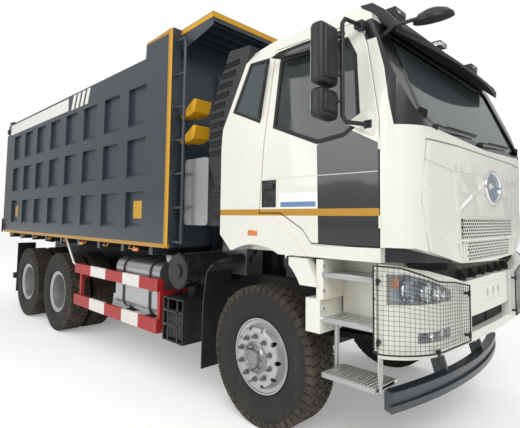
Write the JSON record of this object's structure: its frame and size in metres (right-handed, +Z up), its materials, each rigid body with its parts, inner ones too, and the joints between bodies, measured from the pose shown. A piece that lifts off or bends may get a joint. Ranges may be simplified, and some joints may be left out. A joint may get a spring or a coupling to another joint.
{
  "type": "three-axle dump truck",
  "caption": "Three-axle dump truck with a tilting cab, a rear-tipping ribbed load body and a telescopic hoist between cab and body.",
  "frame": {"origin": "on the ground under the middle of the truck's box", "axes": "+X forward, +Y to the left, +Z up"},
  "size_m": [8.725, 3.17, 3.71],
  "materials": {
    "cab_paint": "gloss cream",
    "body_paint": "satin blue-grey",
    "chassis_paint": "satin black",
    "black_plastic": "grained",
    "glass": "clear, light tint",
    "lamp_lens": "clear",
    "seat_fabric": "woven",
    "engine_iron": "painted casting",
    "tank_alloy": "brushed",
    "step_alloy": "cast and pressed",
    "rim_alloy": "satin silver",
    "tyre": "worn tread",
    "guard_paint": "white with red bands",
    "muffler_steel": "dull",
    "hoist_paint": "satin",
    "hoist_chrome": "polished",
    "chock_yellow": "moulded"
  },
  "bodies": {
    "chassis": {"frame_rails": "chassis_paint", "frame_crossmembers": "chassis_paint", "rear_bar": "chassis_paint", "bumper": "cab_paint", "lamps": "lamp_lens", "front_guards": "chassis_paint", "entry_steps": "step_alloy", "front_axle": "chassis_paint", "drive_axles": "chassis_paint", "engine": "engine_iron", "fuel_tank": "tank_alloy", "air_filter": "black_plastic", "oil_tank": "tank_alloy", "side_guards": "guard_paint", "mudguards": "black_plastic", "muffler": "muffler_steel", "tow_jaw": "chassis_paint"},
    "cab": {"cab_shell": "cab_paint", "cab_glass": "glass", "sun_visor": "black_plastic", "front_mirror": "black_plastic", "intake_stack": "black_plastic", "dashboard": "black_plastic", "seats": "seat_fabric"},
    "door_right": {"door_right": "cab_paint", "door_glass_right": "glass", "door_mirrors_right": "black_plastic"},
    "door_left": {"door_left": "cab_paint", "door_glass_left": "glass", "door_mirrors_left": "black_plastic"},
    "front_lid": {"front_lid": "cab_paint"},
    "knuckle_right": {"knuckle_right": "chassis_paint"},
    "knuckle_left": {"knuckle_left": "chassis_paint"},
    "front_wheel_right": {"front_tyre_right": "tyre", "front_rim_right": "rim_alloy"},
    "front_wheel_left": {"front_tyre_left": "tyre", "front_rim_left": "rim_alloy"},
    "rear_wheels_1_right": {"rear_tyres_1_right": "tyre", "rear_rims_1_right": "rim_alloy"},
    "rear_wheels_1_left": {"rear_tyres_1_left": "tyre", "rear_rims_1_left": "rim_alloy"},
    "rear_wheels_2_right": {"rear_tyres_2_right": "tyre", "rear_rims_2_right": "rim_alloy"},
    "rear_wheels_2_left": {"rear_tyres_2_left": "tyre", "rear_rims_2_left": "rim_alloy"},
    "load_body": {"load_body": "body_paint", "ladder": "body_paint", "chocks": "chock_yellow"},
    "tailgate": {"tailgate": "body_paint"},
    "hoist_barrel": {"hoist_barrel": "hoist_paint"},
    "hoist_stage_1": {"hoist_stage_1": "hoist_chrome"},
    "hoist_stage_2": {"hoist_stage_2": "hoist_chrome"},
    "hoist_rod": {"hoist_rod": "hoist_chrome"}
  },
  "joints": [
    {"name": "cab_tilt", "type": "hinge", "parent": "chassis", "child": "cab", "pos_m": [3.9575, 0, 0.95], "axis": [0, 1, 0], "range_deg": [0, 50]},
    {"name": "door_right_hinge", "type": "hinge", "parent": "cab", "child": "door_right", "pos_m": [3.9835, -1.241, 1.9], "axis": [0, 0, 1], "range_deg": [0, 70]},
    {"name": "door_left_hinge", "type": "hinge", "parent": "cab", "child": "door_left", "pos_m": [3.9835, 1.241, 1.9], "axis": [0, 0, -1], "range_deg": [0, 70]},
    {"name": "front_lid_hinge", "type": "hinge", "parent": "cab", "child": "front_lid", "pos_m": [4.2575, 0, 2.192], "axis": [0, -1, 0], "range_deg": [0, 75]},
    {"name": "steer_right", "type": "hinge", "parent": "chassis", "child": "knuckle_right", "pos_m": [2.8375, -0.83, 0.561], "axis": [0, 0, 1], "range_deg": [-35, 35]},
    {"name": "steer_left", "type": "hinge", "parent": "chassis", "child": "knuckle_left", "pos_m": [2.8375, 0.83, 0.561], "axis": [0, 0, 1], "range_deg": [-35, 35]},
    {"name": "front_wheel_right_spin", "type": "hinge", "parent": "knuckle_right", "child": "front_wheel_right", "pos_m": [2.8375, -1.02, 0.561], "axis": [0, 1, 0], "continuous": true},
    {"name": "front_wheel_left_spin", "type": "hinge", "parent": "knuckle_left", "child": "front_wheel_left", "pos_m": [2.8375, 1.02, 0.561], "axis": [0, 1, 0], "continuous": true},
    {"name": "rear_wheels_1_right_spin", "type": "hinge", "parent": "chassis", "child": "rear_wheels_1_right", "pos_m": [-1.3625, -0.925, 0.561], "axis": [0, 1, 0], "continuous": true},
    {"name": "rear_wheels_1_left_spin", "type": "hinge", "parent": "chassis", "child": "rear_wheels_1_left", "pos_m": [-1.3625, 0.925, 0.561], "axis": [0, 1, 0], "continuous": true},
    {"name": "rear_wheels_2_right_spin", "type": "hinge", "parent": "chassis", "child": "rear_wheels_2_right", "pos_m": [-2.7125, -0.925, 0.561], "axis": [0, 1, 0], "continuous": true},
    {"name": "rear_wheels_2_left_spin", "type": "hinge", "parent": "chassis", "child": "rear_wheels_2_left", "pos_m": [-2.7125, 0.925, 0.561], "axis": [0, 1, 0], "continuous": true},
    {"name": "bed_tilt", "type": "hinge", "parent": "chassis", "child": "load_body", "pos_m": [-3.7125, 0, 1.23], "axis": [0, -1, 0], "range_deg": [0, 45]},
    {"name": "tailgate_swing", "type": "hinge", "parent": "load_body", "child": "tailgate", "pos_m": [-4.3175, 0, 3.34], "axis": [0, 1, 0], "range_deg": [0, 60]},
    {"name": "hoist_lean", "type": "hinge", "parent": "chassis", "child": "hoist_barrel", "pos_m": [1.9375, 0, 1.04], "axis": [0, -1, 0], "range_deg": [0, 25.06]},
    {"name": "hoist_slide_1", "type": "slide", "parent": "hoist_barrel", "child": "hoist_stage_1", "axis": [-0.058, 0, 0.9983], "range_m": [0, 1.39494]},
    {"name": "hoist_slide_2", "type": "slide", "parent": "hoist_stage_1", "child": "hoist_stage_2", "axis": [-0.058, 0, 0.9983], "range_m": [0, 1.39494]},
    {"name": "hoist_slide_3", "type": "slide", "parent": "hoist_stage_2", "child": "hoist_rod", "axis": [-0.058, 0, 0.9983], "range_m": [0, 1.39494]}
  ],
  "couplings": [
    {"joint": "steer_left", "follows": "steer_right", "ratio": 1},
    {"joint": "hoist_lean", "follows": "bed_tilt", "ratio": 0.55675},
    {"joint": "hoist_slide_1", "follows": "bed_tilt", "m_per_rad": 1.7755},
    {"joint": "hoist_slide_2", "follows": "bed_tilt", "m_per_rad": 1.7755},
    {"joint": "hoist_slide_3", "follows": "bed_tilt", "m_per_rad": 1.7755}
  ]
}
